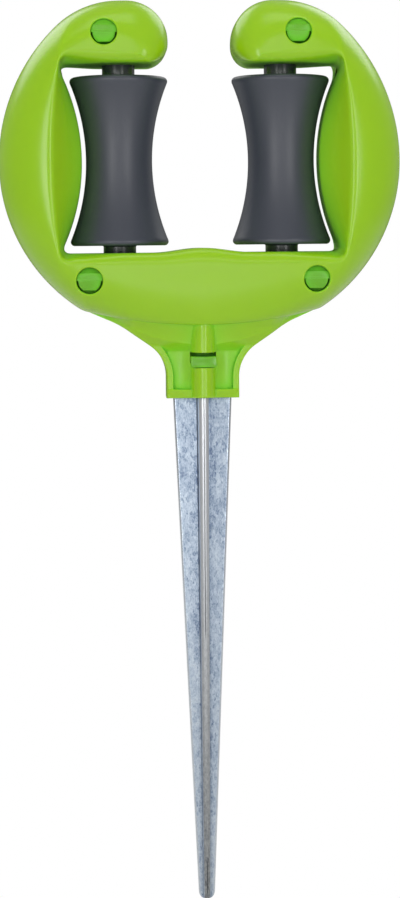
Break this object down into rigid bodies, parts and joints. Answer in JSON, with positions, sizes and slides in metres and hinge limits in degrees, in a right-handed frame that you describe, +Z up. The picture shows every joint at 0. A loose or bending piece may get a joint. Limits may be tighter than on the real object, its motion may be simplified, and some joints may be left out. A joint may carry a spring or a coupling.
{
  "type": "hose guide stake",
  "caption": "Garden hose guide: open horseshoe plastic head with hourglass rollers on vertical axles, on a tapered pressed steel ground stake.",
  "frame": {"origin": "on the stake's axis at the socket's lower rim, where the ground comes to", "axes": "+Z up along the stake's axis, +X across the head, the front faces -Y"},
  "size_m": [0.1604, 0.042, 0.3586],
  "materials": {
    "lime_plastic": "glossy moulded",
    "roller_plastic": "matte moulded",
    "cap_plastic": "satin moulded",
    "galvanised_steel": "galvanised"
  },
  "bodies": {
    "head": {"front_shell": "lime_plastic", "rear_shell": "lime_plastic", "stake": "galvanised_steel"},
    "left_roller": {"left_roller_sleeve": "roller_plastic", "left_roller_top_cap": "cap_plastic", "left_roller_bottom_cap": "cap_plastic"},
    "right_roller": {"right_roller_sleeve": "roller_plastic", "right_roller_top_cap": "cap_plastic", "right_roller_bottom_cap": "cap_plastic"}
  },
  "joints": [
    {"name": "left_roller_spin", "type": "hinge", "parent": "head", "child": "left_roller", "pos_m": [-0.0324, 0, 0.0946], "axis": [0, 0, 1], "continuous": true},
    {"name": "right_roller_spin", "type": "hinge", "parent": "head", "child": "right_roller", "pos_m": [0.0324, 0, 0.0946], "axis": [0, 0, 1], "continuous": true}
  ]
}
